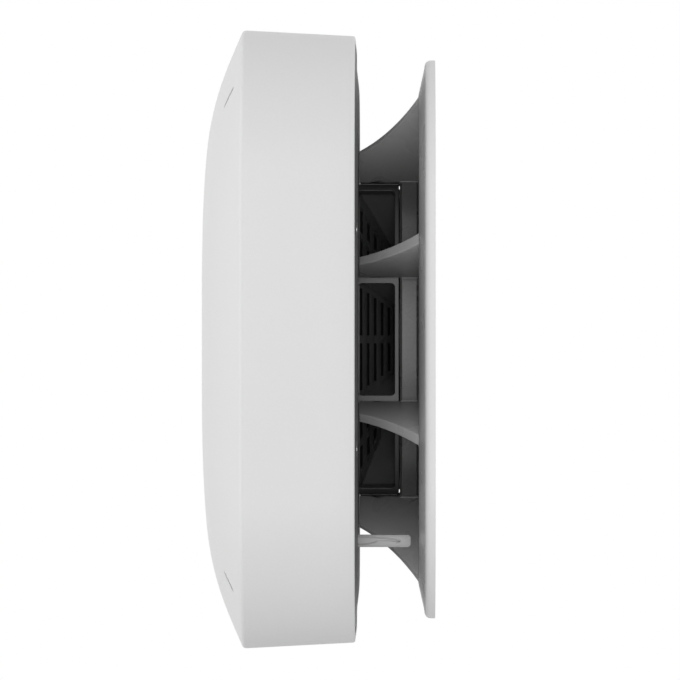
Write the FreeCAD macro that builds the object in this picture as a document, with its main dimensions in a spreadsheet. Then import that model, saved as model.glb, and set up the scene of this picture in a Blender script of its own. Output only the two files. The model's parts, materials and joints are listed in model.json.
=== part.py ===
import FreeCAD, Part
import math
import os
import re
import Sketcher

# Mesh wifi node for a wall or ceiling: a white domed head that holds the electronics, standing off a
# square wall plate on a ring of eight flared arms.  Millimetres, +Z up, the head's front towards -Y.
# The origin is the middle of the plate's back face.  "Depth" is the distance from that face, along -Y.

doc = FreeCAD.newDocument("MeshWifiNode")

SIZES = (
    # wall plate
    ("plate_half", 90.9, "half the side of the square wall plate"),
    ("plate_corner", 45.0, "its corner radius"),
    ("plate_thickness", 3.4, "its thickness"),
    ("plate_round", 2.0, "rounding of its front edge"),
    ("plate_bore", 24.0, "radius of the round opening in the middle"),
    ("wall_screw_spot", 56.0, "wall screw holes from the middle, along X and along Z"),
    ("wall_screw_bore", 2.3, "radius of a wall screw hole"),
    ("wall_screw_seat", 4.6, "radius of the opening in the skirt for a screw's head"),
    ("cable_hole_half", 12.0, "half the width of the cable opening below the arms"),
    ("cable_hole_near", 63.0, "its edge nearer the middle"),
    ("cable_hole_far", 78.0, "its edge nearer the rim"),
    ("cable_hole_corner", 3.0, "its corner radius"),
    # skirt, ring and arms, in one piece on the plate's front
    ("skirt_front", 5.3, "depth of the skirt's face"),
    ("skirt_inset", 2.2, "how far its edge stays inside the plate's"),
    ("skirt_slope", 8.7, "width of its sloping edge"),
    ("ring_stand", 1.65, "how far the corners of the octagonal ring stand outside the column's"),
    ("ring_wall", 2.4, "its wall"),
    ("ring_front", 11.4, "depth of its front edge"),
    ("ring_pad_half", 18.6, "half the width of the raised pad on each side of the ring"),
    ("ring_pad_rise", 1.0, "how far the pad stands out"),
    ("ring_pad_slope", 2.4, "width of its sloping ends"),
    ("ring_pad_margin", 0.4, "plain edge in front of and behind the pad"),
    ("panel_corner", 1.3, "corner radius of the windows"),
    ("arm_root_half", 1.6, "half the thickness of an arm where it leaves the ring's corner"),
    ("arm_foot_reach", 28.5, "how far an arm reaches past the ring at the skirt"),
    ("arm_foot_half", 1.9, "half the thickness of its outer edge there"),
    ("arm_waist_reach", 21.05, "how far it reaches past the column at its waist"),
    ("arm_waist_half", 1.7, "half its thickness there"),
    ("arm_waist", 12.4, "depth of the waist"),
    ("arm_top_reach", 11.25, "how far it reaches past the column at the head"),
    ("arm_top_half", 1.4, "half its thickness there"),
    ("arm_screw_place", 6.1, "the screw under each arm, outside the ring's corner"),
    ("arm_screw_sink", 2.4, "depth of its head's seat in the plate's back"),
    ("arm_screw_reach", 5.0, "how far it goes into the arm"),
    # column under the head
    ("column_radius", 55.25, "corner radius of the octagonal column"),
    ("column_wall", 2.0, "its wall, corner to corner"),
    ("column_back", 11.75, "depth of its floor's back face"),
    ("column_floor", 1.4, "thickness of its floor"),
    ("window_half", 18.2, "half the width of the window in each side"),
    ("flange_reach", 6.75, "how far the flange inside the head reaches past the column"),
    ("flange_thickness", 1.6, "its thickness"),
    ("trap_wall", 1.2, "wall of the round lip behind the floor that closes the gap to the ring"),
    ("trap_drop", 1.0, "how far it stands behind the floor"),
    # bayonet
    ("spigot_radius", 29.6, "radius of the round spigot behind the column"),
    ("spigot_wall", 2.4, "its wall"),
    ("lug_reach", 4.0, "how far a bayonet lug stands out of the spigot"),
    ("lug_half", 3.9, "half the width of a lug"),
    ("lug_thickness", 2.0, "its thickness"),
    ("lug_lift", 0.7, "gap between the lugs and the wall plate"),
    ("lug_gap", 0.4, "gap between a lug and the lip in front of it"),
    ("lip_thickness", 1.7, "thickness of the lip that holds the lugs"),
    ("lock_wall", 3.0, "wall of the lock ring outside the lugs"),
    ("lock_flange", 9.0, "how far the lock ring's screw flange reaches further"),
    ("lock_flange_thickness", 2.2, "its thickness"),
    ("lock_screw_depth", 3.5, "how far the lock ring's screws go into the plate"),
    ("lock_turn", 18.0, "twist from locked to free, in degrees"),
    ("running_gap", 0.3, "clearance between pieces that turn past each other"),
    ("fit_gap", 0.15, "clearance between pieces that are put together"),
    ("bore_gap", 0.05, "clearance of a screw or pin in its hole"),
    # head
    ("head_back_half", 98.6, "half the side of the head at its back edge"),
    ("head_front_half", 100.5, "half the side of the head at its front edge"),
    ("head_corner", 49.0, "corner radius of the head at its front edge"),
    ("head_back", 26.4, "depth of the back edge"),
    ("head_edge", 62.3, "depth of the front edge"),
    ("shell_wall", 2.2, "wall of the head's shell"),
    ("shell_fillet", 0.8, "rounding of the shell's back edge"),
    ("dome_half_1", 85.9, "half the side of the dome's contour lines, from the edge to the crown"),
    ("dome_half_2", 74.2, ""),
    ("dome_half_3", 61.6, ""),
    ("dome_half_4", 42.1, ""),
    ("dome_half_5", 17.7, ""),
    ("dome_depth_1", 68.65, "depth of those lines"),
    ("dome_depth_2", 72.35, ""),
    ("dome_depth_3", 74.57, ""),
    ("dome_depth_4", 76.0, ""),
    ("dome_depth_5", 76.69, ""),
    ("post_screw_depth", 12.0, "depth of the screw hole in a post"),
    ("slot_near", 105.5, "corner light slot: its end nearer the middle, along the diagonal"),
    ("slot_far", 114.5, "its outer end"),
    ("slot_half", 0.55, "half its width"),
    ("slot_corner", 0.5, "its corner radius"),
    ("pipe_sink", 0.3, "how far the light pipe lies below the dome"),
    ("pipe_root", 52.0, "depth where a light pipe narrows to its stem"),
    ("pipe_near", 92.0, "a light pipe's end nearer the middle"),
    ("pipe_foot", 2.0, "thickness of the foot between its stem and its blade"),
    ("pipe_stem_half", 2.0, "half the width of the stem"),
    ("pipe_stem_length", 5.0, "its length along the diagonal"),
    ("cover_back", 25.0, "depth of the rear cover's outer face"),
    ("cover_thickness", 2.4, "thickness of the rear cover"),
    ("cover_gap", 0.25, "gap between the rear cover and the shell"),
    ("cover_screw_sink", 1.5, "depth of the screw seats in it"),
    ("neck_screw_depth", 1.9, "how far the column's screws go into it"),
    ("board_screw_depth", 7.0, "how far the main board's screws go into its posts"),
    ("post_radius", 3.5, "radius of a screw post inside the shell"),
    ("post_spot", 92.0, "its distance from the middle"),
    # vents
    ("vent_gap", 0.25, "gap between the vented funnel's wide end and the column"),
    ("vent_end_radius", 31.6, "corner radius of its narrow end"),
    ("vent_wide", 24.6, "depth where the funnel starts to narrow"),
    ("vent_wall", 1.6, "its wall"),
    ("vent_rib", 1.6, "thickness of the ribs on its corners"),
    ("vent_flange_inset", 1.0, "how far its flange stays inside the column's flange"),
    ("vent_flange_thickness", 1.4, "thickness of the flange"),
    ("vent_row", 24.1, "depth of the first row of slots"),
    ("vent_pitch", 2.28, "distance from row to row"),
    ("vent_half", 16.6, "half the length of the first row on the four upright and level sides"),
    ("vent_step", 1.54, "how much shorter each half row is than the one before"),
    ("vent_corner_half", 12.9, "half the length of the first row on the four slanted sides"),
    ("vent_corner_step", 1.25, "how much shorter each half row is there"),
    ("vent_slot", 0.85, "width of a slot"),
    ("vent_bridge", 2.6, "width of the bridge in the middle of a row"),
    ("screen_wall", 0.8, "thickness of the dust screen inside the funnel"),
    ("screen_collar", 1.2, "height of the screen's straight collar"),
    # port bay, on the column's lower side
    ("bay_half", 19.5, "half the width of the port bay"),
    ("bay_face", 49.0, "its outer face, below the middle"),
    ("bay_wall", 1.4, "its wall"),
    ("bay_inner", 26.0, "its inner end"),
    ("jack_left", 18.0, "left side of the network jack"),
    ("jack_width", 16.0, "its width"),
    ("jack_height", 13.4, "its height"),
    ("jack_length", 21.0, "its length"),
    ("jack_mouth_width", 11.8, "width of the plug opening"),
    ("jack_mouth_height", 7.6, "height of the plug opening"),
    ("jack_mouth_lift", 2.4, "from the jack's back face to the plug opening"),
    ("jack_mouth_length", 13.0, "how far the plug goes in"),
    ("latch_width", 6.2, "width of the notch for the plug's latch"),
    ("latch_height", 1.5, "its height"),
    ("contact_pitch", 1.02, "distance from contact to contact"),
    ("contact_width", 0.45, "width of a contact"),
    ("contact_height", 0.5, "its height"),
    ("contact_sink", 2.0, "how far the contacts lie inside the mouth"),
    ("power_left", 1.0, "how far left of the middle the power jack starts"),
    ("power_width", 9.0, "its width"),
    ("power_height", 11.0, "its height"),
    ("power_length", 14.0, "its length"),
    ("power_bore", 3.15, "radius of its bore"),
    ("power_bore_length", 9.5, "depth of its bore"),
    ("power_pin", 1.0, "radius of the pin in it"),
    ("key_x", 13.2, "the two keys, right of the middle"),
    ("sync_depth", 20.6, "depth of the sync button's axis"),
    ("sync_radius", 2.1, "its radius"),
    ("sync_proud", 0.9, "how far it stands out of the bay"),
    ("reset_depth", 15.6, "depth of the reset button's axis"),
    ("reset_radius", 0.9, "its radius"),
    ("reset_sink", 0.4, "how far it lies inside the bay's face"),
    ("key_collar", 0.9, "how far a button's collar stands out of its stem"),
    ("key_collar_length", 1.2, "length of the collar"),
    ("key_travel", 0.7, "travel of either button"),
    ("plunger_radius", 0.9, "radius of a switch's plunger"),
    ("plunger_length", 2.4, "its length"),
    ("plunger_grip", 1.1, "how much of it lies in the switch at rest"),
    ("switch_half", 1.7, "half the side of a switch"),
    ("switch_length", 4.0, "its length"),
    ("key_board_thickness", 1.2, "thickness of the small board that carries both switches"),
    ("key_board_half", 4.2, "half its width"),
    # boards and what is on them
    ("board_thickness", 1.6, "thickness of a circuit board"),
    ("board_back", 36.0, "depth of the main board's back face"),
    ("board_half", 78.0, "half its side"),
    ("board_corner", 30.0, "its corner radius"),
    ("port_board_half", 18.0, "half the width of the port board"),
    ("port_board_inner", 22.0, "its inner end, below the middle"),
    ("header_half", 10.0, "half the length of the header between the boards"),
    ("header_near", 23.5, "its side nearer the middle"),
    ("header_width", 5.0, "its width"),
    ("stand_radius", 3.2, "radius of the posts that carry the main board"),
    ("stand_spot", 78.0, "their distance from the middle, along the diagonals"),
    ("chip_half", 9.0, "half the side of the processor"),
    ("chip_thickness", 1.3, "its thickness"),
    ("thermal_pad_thickness", 1.0, "thickness of the thermal pad"),
    ("sink_half", 46.0, "half the side of the heat sink"),
    ("sink_base", 3.0, "thickness of its base"),
    ("fin_height", 11.0, "height of its fins"),
    ("fin_thickness", 1.6, "thickness of a fin"),
    ("fin_pitch", 7.4, "distance from fin to fin"),
    ("sink_screw_spot", 58.0, "its screws from the middle, along the diagonals"),
    ("sink_screw_depth", 4.0, "how far they go into it"),
    ("sink_boss", 3.0, "radius of the bosses under its screws"),
    ("can_height", 3.0, "height of a shield can"),
    ("can_half", 15.0, "half its side"),
    ("can_corner", 1.5, "its corner radius"),
    ("can_spot", 42.0, "the shield cans from the middle"),
    ("carrier_half", 71.0, "half the side of the antenna carrier"),
    ("carrier_wall", 2.0, "its wall"),
    ("carrier_height", 16.0, "its height"),
    ("carrier_corner", 22.0, "its corner radius"),
    ("antenna_spot", 24.0, "middle of an antenna from the middle of its side"),
    ("antenna_half", 13.0, "half its length"),
    ("antenna_height", 13.0, "its height"),
    ("antenna_thickness", 0.6, "its thickness"),
    ("antenna_notch", 3.0, "width of the notch that divides it"),
    ("antenna_foot", 4.0, "height of its foot below the notch"),
    ("led_spot", 94.3, "the lights, from the middle"),
    ("led_half", 1.4, "half the side of a light"),
    ("led_height", 0.9, "its height"),
    # release lever
    ("lever_spot", 65.15, "the lever, right of the middle and below it"),
    ("lever_half", 2.0, "half its width, along Z"),
    ("lever_thickness", 2.4, "its thickness, along X"),
    ("lever_tip", 7.9, "depth of its tip"),
    ("lever_round", 1.2, "rounding of its tip"),
    ("lever_root", 32.2, "depth of its root"),
    ("lever_pivot", 30.0, "depth of its pivot"),
    ("lever_pin_radius", 0.9, "radius of the pivot pin"),
    ("lever_play", 1.2, "room on each side of the lever in its slot"),
    ("cheek_wall", 1.6, "thickness of the cheeks that hold the pin"),
    ("cheek_half", 3.2, "half their width"),
    ("spring_wall", 0.5, "wall of the lever's coil spring"),
    ("spring_length", 1.8, "its length"),
    # screws
    ("screw_radius", 1.25, "shank radius of the screws"),
    ("screw_head", 2.6, "radius of their heads"),
    ("screw_head_height", 1.4, "height of their heads"),
    ("screw_key", 1.1, "corner radius of the hexagon in the head"),
    ("screw_key_depth", 0.9, "its depth"),
)

sheet = doc.addObject("Spreadsheet::Sheet", "Sizes")
for row, (alias, number, meaning) in enumerate(SIZES, start=1):
    sheet.set(f"A{row}", alias)
    sheet.set(f"B{row}", str(number))
    sheet.set(f"C{row}", meaning)
    sheet.setAlias(f"B{row}", alias)
doc.recompute()
ALIASES = {alias for alias, number, meaning in SIZES}

OCTANT = 45.0            # angle from one side of an octagon to the next
HALF_OCTANT = OCTANT / 2

# Places that follow from the sizes, as expressions on them.
PLACES = {
    "ring_radius": "(column_radius + ring_stand)",
    "flange_radius": "(column_radius + flange_reach)",
    "trap_radius": f"((ring_radius - ring_wall) * cos({HALF_OCTANT}) - 2 * running_gap)",
    "flange_back": "(cover_back + cover_thickness)",
    "flange_front": "(flange_back + flange_thickness)",
    "vent_radius": "(column_radius - column_wall - vent_gap)",
    "vent_flange": "(flange_radius - vent_flange_inset)",
    "vent_front": "(flange_front + vent_flange_thickness)",
    "vent_back": "(column_back + column_floor + bore_gap)",
    "rib_reach": "(vent_radius - vent_rib / 2)",
    "arm_inner": "(column_radius + 3 * running_gap)",
    "arm_foot": "(ring_radius + arm_foot_reach)",
    "arm_waist_radius": "(column_radius + arm_waist_reach)",
    "arm_top": "(column_radius + arm_top_reach)",
    "arm_front": "(cover_back - running_gap)",
    "arm_screw_spot": "(ring_radius + arm_screw_place)",
    "lug_back": "(skirt_front + lug_lift)",
    "lug_radius": "(spigot_radius + lug_reach)",
    "lock_channel": "(lug_lift + lug_thickness + lug_gap)",
    "lock_height": "(lock_channel + lip_thickness)",
    "lock_radius": "(lug_radius + running_gap + lock_wall)",
    "lock_screw_spot": "(lock_radius + lock_flange / 2)",
    "neck_screw_spot": f"((vent_flange + column_radius + cover_gap) * cos({HALF_OCTANT}) / 2)",
    "board_front": "(board_back + board_thickness)",
    "chip_front": "(board_front + chip_thickness)",
    "sink_back": "(chip_front + thermal_pad_thickness)",
    "jack_back": "(column_back + column_floor + fit_gap)",
    "jack_front": "(jack_back + jack_height)",
    "port_board_front": "(jack_front + board_thickness)",
    "power_x": "(power_width / 2 - power_left)",
    "power_depth": "(jack_front - power_height / 2)",
    "jack_x": "(jack_width / 2 - jack_left)",
    "collar_outer": "(bay_face - bay_wall - fit_gap)",
    "collar_inner": "(collar_outer - key_collar_length)",
    "switch_outer": "(collar_inner - plunger_length + plunger_grip)",
    "switch_inner": "(switch_outer - switch_length)",
}

pieces = []


# An expression as the document wants it: places written out, and the sheet's name before each of its cells.
def cells(expression):
    def written(word):
        if word[0] in PLACES:
            return cells(PLACES[word[0]])
        return "Sizes." + word[0] if word[0] in ALIASES else word[0]
    return re.sub(r"[a-z]\w*", written, expression)


# What an expression comes to.
def value(expression):
    return float(sheet.evalExpression(cells(expression)))


# One sub-part: a body whose features are made in order, each from a sketch on one of its own planes.
class Piece:
    def __init__(self, label):
        self.body = doc.addObject("PartDesign::Body", label)
        self.body.Label = label
        self.count = 0
        pieces.append(self.body)

    def name(self, kind):
        self.count += 1
        return f"{self.body.Label}_{kind}_{self.count}"

    def datum(self, role):
        return next(item for item in self.body.Origin.OriginFeatures if item.Role == role)

    # A sketch at a distance along its plane's normal: on XZ_Plane that distance is the depth.
    def sketch(self, offset, plane="XZ_Plane", turn=0.0, about=(0, 0, 1)):
        sketch = self.body.newObject("Sketcher::SketchObject", self.name("sketch"))
        sketch.AttachmentSupport = [(self.datum(plane), "")]
        sketch.MapMode = "FlatFace"
        turned = FreeCAD.Rotation(FreeCAD.Vector(*about), turn)
        sketch.AttachmentOffset = FreeCAD.Placement(FreeCAD.Vector(), turned)
        sketch.setExpression("AttachmentOffset.Base.z", cells(offset))
        return sketch

    # Pad a sketch along its normal, or cut from it against its normal.
    def extrude(self, sketch, length, cut=False, both=False):
        kind = "Pocket" if cut else "Pad"
        feature = self.body.newObject("PartDesign::" + kind, self.name(kind.lower()))
        feature.Profile = sketch
        feature.setExpression("Length", cells(length))
        if both:
            feature.SideType = "Symmetric"
        self.body.Tip = feature
        return feature

    def loft(self, sketches, ruled=True, cut=False):
        kind = "SubtractiveLoft" if cut else "AdditiveLoft"
        feature = self.body.newObject("PartDesign::" + kind, self.name("loft"))
        feature.Profile = sketches[0]
        feature.Sections = sketches[1:]
        feature.Ruled = ruled
        self.body.Tip = feature
        return feature

    # Repeat features round the Y axis, evenly over the full turn or over part of it.
    def around(self, features, count, angle=360):
        pattern = self.body.newObject("PartDesign::PolarPattern", self.name("pattern"))
        pattern.Originals = features
        pattern.Axis = (self.datum("Y_Axis"), [""])
        pattern.Angle = angle
        pattern.Occurrences = count
        self.body.Tip = pattern
        return pattern

    # Round the edges that a rule picks from the shape as it is so far.
    def fillet(self, radius, rule):
        doc.recompute()
        base = self.body.Tip
        edges = [f"Edge{number}" for number, edge in enumerate(base.Shape.Edges, start=1) if rule(edge)]
        feature = self.body.newObject("PartDesign::Fillet", self.name("fillet"))
        feature.Base = (base, edges)
        feature.setExpression("Radius", cells(radius))
        self.body.Tip = feature
        return feature

    def disc(self, depth, length, radius, x="0", z="0", cut=False, turn=0.0):
        sketch = self.sketch(depth, turn=turn)
        drawCircle(sketch, "disc", x, z, radius)
        return self.extrude(sketch, length, cut)

    def octagon(self, depth, length, radius, cut=False):
        sketch = self.sketch(depth)
        drawPolygon(sketch, 8, radius, HALF_OCTANT)
        return self.extrude(sketch, length, cut)

    def block(self, depth, length, left, right, low, high, corner=None, cut=False, turn=0.0):
        sketch = self.sketch(depth, turn=turn)
        drawRectangle(sketch, "block", left, right, low, high, corner)
        return self.extrude(sketch, length, cut)

    def square(self, depth, length, half, corner, cut=False):
        return self.block(depth, length, f"-({half})", half, f"-({half})", half, corner, cut)


def bind(sketch, constraint, name, expression):
    index = sketch.addConstraint(constraint)
    sketch.renameConstraint(index, name)
    sketch.setExpression("Constraints." + name, cells(expression))


# Hold a point of a sketch's edge at x, y from the sketch's origin.
def place(sketch, tag, edge, point, x, y):
    bind(sketch, Sketcher.Constraint("DistanceX", -1, 1, edge, point, value(x)), tag + "_x", x)
    bind(sketch, Sketcher.Constraint("DistanceY", -1, 1, edge, point, value(y)), tag + "_y", y)


def drawCircle(sketch, tag, x, y, radius):
    centre = FreeCAD.Vector(value(x), value(y), 0)
    edge = sketch.addGeometry(Part.Circle(centre, FreeCAD.Vector(0, 0, 1), value(radius)), False)
    bind(sketch, Sketcher.Constraint("Radius", edge, value(radius)), tag + "_radius", radius)
    place(sketch, tag, edge, 3, x, y)


# A closed outline of straight lines through the points.
def drawOutline(sketch, tag, points):
    corners = [FreeCAD.Vector(value(x), value(y), 0) for x, y in points]
    first = None
    for number, (x, y) in enumerate(points):
        line = Part.LineSegment(corners[number], corners[(number + 1) % len(points)])
        edge = sketch.addGeometry(line, False)
        place(sketch, f"{tag}_{number}", edge, 1, x, y)
        if first is None:
            first = edge
        else:
            sketch.addConstraint(Sketcher.Constraint("Coincident", edge - 1, 2, edge, 1))
    sketch.addConstraint(Sketcher.Constraint("Coincident", edge, 2, first, 1))


def drawPolygon(sketch, sides, radius, turn, x="0", y="0"):
    points = []
    for side in range(sides):
        angle = turn + side * 360 / sides
        points.append((f"{x} + ({radius}) * cos({angle})", f"{y} + ({radius}) * sin({angle})"))
    drawOutline(sketch, "corner", points)


def drawRectangle(sketch, tag, left, right, low, high, corner=None):
    if corner is None:
        drawOutline(sketch, tag, [(left, low), (right, low), (right, high), (left, high)])
        return
    x0, x1, y0, y1, r = (value(text) for text in (left, right, low, high, corner))
    lines = [((x0 + r, y0), (x1 - r, y0)), ((x1, y0 + r), (x1, y1 - r)),
             ((x1 - r, y1), (x0 + r, y1)), ((x0, y1 - r), (x0, y0 + r))]
    centres = [(x1 - r, y0 + r), (x1 - r, y1 - r), (x0 + r, y1 - r), (x0 + r, y0 + r)]
    sides = []
    arcs = []
    for number, (start, end) in enumerate(lines):
        line = Part.LineSegment(FreeCAD.Vector(*start, 0), FreeCAD.Vector(*end, 0))
        sides.append(sketch.addGeometry(line, False))
        sketch.addConstraint(Sketcher.Constraint("Vertical" if number % 2 else "Horizontal", sides[-1]))
        circle = Part.Circle(FreeCAD.Vector(*centres[number], 0), FreeCAD.Vector(0, 0, 1), r)
        turn = math.pi / 2
        arc = Part.ArcOfCircle(circle, (number - 1) * turn, number * turn)
        arcs.append(sketch.addGeometry(arc, False))
    for number in range(4):
        sketch.addConstraint(Sketcher.Constraint("Tangent", sides[number], 2, arcs[number], 1))
        sketch.addConstraint(Sketcher.Constraint("Tangent", arcs[number], 2, sides[(number + 1) % 4], 1))
        if number:
            sketch.addConstraint(Sketcher.Constraint("Equal", arcs[0], arcs[number]))
    bind(sketch, Sketcher.Constraint("Radius", arcs[0], r), tag + "_corner", corner)
    bind(sketch, Sketcher.Constraint("DistanceY", -1, 1, sides[0], 1, y0), tag + "_low", low)
    bind(sketch, Sketcher.Constraint("DistanceX", -1, 1, sides[1], 1, x1), tag + "_right", right)
    bind(sketch, Sketcher.Constraint("DistanceY", -1, 1, sides[2], 1, y1), tag + "_high", high)
    bind(sketch, Sketcher.Constraint("DistanceX", -1, 1, sides[3], 1, x0), tag + "_left", left)


# Holes on a circle round the Y axis, cut from a depth back towards the wall.
def drill(piece, depth, length, bore, spot, count, turn):
    hole = piece.disc(depth, length, bore, x=spot, cut=True, turn=turn)
    return piece.around([hole], count)


# Equal screws on a circle, all in one node.  A screw's head lies in front of its seat, or behind it.
def makeScrews(label, spot, count, turn, seat, length, faces_wall=False):
    screws = Piece(label)
    head_start = f"{seat} - screw_head_height" if faces_wall else seat
    shank_start = seat if faces_wall else f"{seat} - ({length})"
    parts = [screws.disc(head_start, "screw_head_height", "screw_head", x=spot, turn=turn),
             screws.disc(shank_start, length, "screw_radius", x=spot, turn=turn)]
    key_front = f"{seat} + screw_head_height"
    if faces_wall:
        key_front = f"{seat} - screw_head_height + screw_key_depth"
    key = screws.sketch(key_front, turn=turn)
    drawPolygon(key, 6, "screw_key", 0, x=spot)
    parts.append(screws.extrude(key, "screw_key_depth", cut=True))
    screws.around(parts, count)


def levelAt(edge, depth, tolerance=0.01):
    box = edge.BoundBox
    return abs(box.YMin + depth) < tolerance and abs(box.YMax + depth) < tolerance


# ---- the stand: wall plate, ring with arms, lock ring ----

def makeBasePlate():
    plate = Piece("base_plate")
    plate.square("0", "plate_thickness", "plate_half", "plate_corner")
    plate.fillet("plate_round", lambda edge: levelAt(edge, value("plate_thickness")))
    cutPlate(plate, "plate_thickness", "plate_thickness", "wall_screw_bore")
    # sunk screw heads for the arms, from behind, and the ends of the lock ring's screws, from in front
    drill(plate, "arm_screw_sink", "arm_screw_sink", "screw_head + fit_gap",
          "arm_screw_spot", 8, HALF_OCTANT)
    drill(plate, "plate_thickness", "plate_thickness", "screw_radius + bore_gap",
          "arm_screw_spot", 8, HALF_OCTANT)
    drill(plate, "plate_thickness", "lock_screw_depth - (skirt_front - plate_thickness)",
          "screw_radius + bore_gap", "lock_screw_spot", 4, OCTANT)


# The openings that the plate and the skirt share: the middle, the wall screws and the cables.
def cutPlate(piece, front, length, screw_bore):
    piece.disc(front, length, "plate_bore", cut=True)
    drill(piece, front, length, screw_bore, "wall_screw_spot * sqrt(2)", 4, OCTANT)
    piece.block(front, length, "-cable_hole_half", "cable_hole_half",
                "-cable_hole_far", "-cable_hole_near", "cable_hole_corner", cut=True)


def makeArmSpider():
    spider = Piece("arm_spider")
    sections = []
    for depth, inset in (("plate_thickness", "skirt_inset"), ("skirt_front", "(skirt_inset + skirt_slope)")):
        section = spider.sketch(depth)
        half = f"(plate_half - {inset})"
        drawRectangle(section, "skirt", f"-{half}", half, f"-{half}", half, f"plate_corner - {inset}")
        sections.append(section)
    spider.loft(sections)
    spider.octagon("skirt_front", "ring_front - skirt_front", "ring_radius")
    # a raised pad with sloping ends on each side of the ring
    sections = []
    for rise, slope in (("0", "ring_pad_slope"), ("ring_pad_rise", "0")):
        section = spider.sketch(f"ring_radius * cos({HALF_OCTANT}) + {rise}", plane="YZ_Plane")
        half = f"(ring_pad_half + {slope})"
        drawRectangle(section, "pad", "-(ring_front - ring_pad_margin)",
                      "-(skirt_front + ring_pad_margin)", f"-{half}", half)
        sections.append(section)
    pad = spider.loft(sections)
    spider.around([pad], 8)
    # one arm at a corner of the ring: short at the head, further out towards the plate
    arm = [armSection(spider, "skirt_front", "arm_foot", "arm_foot_half"),
           armSection(spider, "arm_waist", "arm_waist_radius", "arm_waist_half"),
           armSection(spider, "arm_front", "arm_top", "arm_top_half")]
    first = spider.loft(arm, ruled=False)
    spider.around([first], 8)
    spider.octagon("ring_front", "ring_front - skirt_front", "ring_radius - ring_wall", cut=True)
    cutPlate(spider, "skirt_front", "skirt_front - plate_thickness", "wall_screw_seat")
    drill(spider, "skirt_front + arm_screw_reach", "skirt_front + arm_screw_reach - plate_thickness",
          "screw_radius + bore_gap", "arm_screw_spot", 8, HALF_OCTANT)
    drill(spider, "skirt_front", "skirt_front - plate_thickness", "screw_radius + bore_gap",
          "lock_screw_spot", 4, OCTANT)


# An arm's section at a depth: from its root at the ring's corner to its outer edge.
def armSection(piece, depth, reach, half):
    section = piece.sketch(depth, turn=HALF_OCTANT)
    drawOutline(section, "arm", [("arm_inner", "-arm_root_half"), (reach, f"-{half}"),
                                 (reach, half), ("arm_inner", "arm_root_half")])
    return section


def makeLockRing():
    ring = Piece("lock_ring")
    ring.disc("skirt_front", "lock_flange_thickness", "lock_radius + lock_flange")
    ring.disc("skirt_front", "lock_height", "lock_radius")
    ring.disc("skirt_front + lock_height", "lock_height", "spigot_radius + running_gap", cut=True)
    ring.disc("skirt_front + lock_channel", "lock_channel", "lug_radius + running_gap", cut=True)
    # notches in the lip, where the lugs go in when the head is turned to its free position
    notch = ring.block("skirt_front + lock_height", "lock_height", "0", "lug_radius + running_gap",
                       "-(lug_half + running_gap)", "lug_half + running_gap", cut=True,
                       turn=OCTANT + value("lock_turn"))
    ring.around([notch], 4)
    drill(ring, "skirt_front + lock_flange_thickness", "lock_flange_thickness", "screw_radius + bore_gap",
          "lock_screw_spot", 4, OCTANT)


# ---- the head: column, vents, shell and rear cover ----

def makeNeckFrame():
    neck = Piece("neck_frame")
    neck.octagon("column_back", "flange_back - column_back", "column_radius")
    neck.octagon("flange_back", "flange_thickness", "flange_radius")
    neck.octagon("flange_front", "flange_front - column_back - column_floor",
                 "column_radius - column_wall", cut=True)
    window = neck.sketch("column_radius", plane="YZ_Plane")
    drawRectangle(window, "window", "-cover_back", "-(column_back + column_floor)",
                  "-window_half", "window_half", "panel_corner")
    opening = neck.extrude(window, "column_radius / 4", cut=True)
    neck.around([opening], 8)
    # round lip behind the floor, inside the ring, so that no light passes between the two
    neck.disc("column_back - trap_drop", "trap_drop", "trap_radius")
    neck.disc("column_back", "trap_drop", "trap_radius - trap_wall", cut=True)
    # spigot with four lugs, behind the floor
    neck.disc("lug_back", "column_back - lug_back", "spigot_radius")
    lug = neck.block("lug_back", "lug_thickness", "0", "lug_radius", "-lug_half", "lug_half", turn=OCTANT)
    neck.around([lug], 4)
    neck.disc("column_back", "column_back - lug_back", "spigot_radius - spigot_wall", cut=True)
    drill(neck, "flange_front", "flange_thickness", "screw_radius + bore_gap",
          "neck_screw_spot", 8, 0)


def makeVentDome():
    vent = Piece("vent_dome")
    vent.octagon("flange_front", "vent_flange_thickness", "vent_flange")
    vent.octagon("vent_wide", "flange_front - vent_wide", "vent_radius")
    funnelBetween(vent, "vent_wide", "vent_radius", "vent_back", "vent_end_radius", cut=False)
    # ribs from the funnel's corners to the column's, except beside the port bay
    rib = vent.sketch("0", plane="XY_Plane", turn=-(4 * OCTANT + HALF_OCTANT), about=(0, 1, 0))
    drawOutline(rib, "rib", [("vent_end_radius - vent_wall", "-vent_back"), ("rib_reach", "-vent_back"),
                             ("rib_reach", "-flange_front"), ("vent_radius - vent_wall", "-flange_front")])
    first = vent.extrude(rib, "vent_rib", both=True)
    vent.around([first], 6, 5 * OCTANT)
    vent.octagon("vent_front", "vent_front - vent_wide", "vent_radius - vent_wall", cut=True)
    funnelBetween(vent, "vent_wide", "vent_radius - vent_wall", "vent_back + vent_wall",
                  "vent_end_radius - vent_wall", cut=True)
    side_rows = ventRows(vent, 0.0, 6, "vent_half", "vent_step")
    vent.around([side_rows], 4)
    corner_rows = ventRows(vent, OCTANT, 4, "vent_corner_half", "vent_corner_step")
    vent.around([corner_rows], 4)
    # room for the port bay
    vent.block("vent_front", "vent_front - vent_back",
               "-(bay_half + running_gap)", "bay_half + running_gap",
               "-(bay_face + sync_proud + running_gap)", "-(port_board_inner - running_gap)", cut=True)
    drill(vent, "vent_front", "vent_flange_thickness", "screw_radius + bore_gap",
          "neck_screw_spot", 8, 0)


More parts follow.
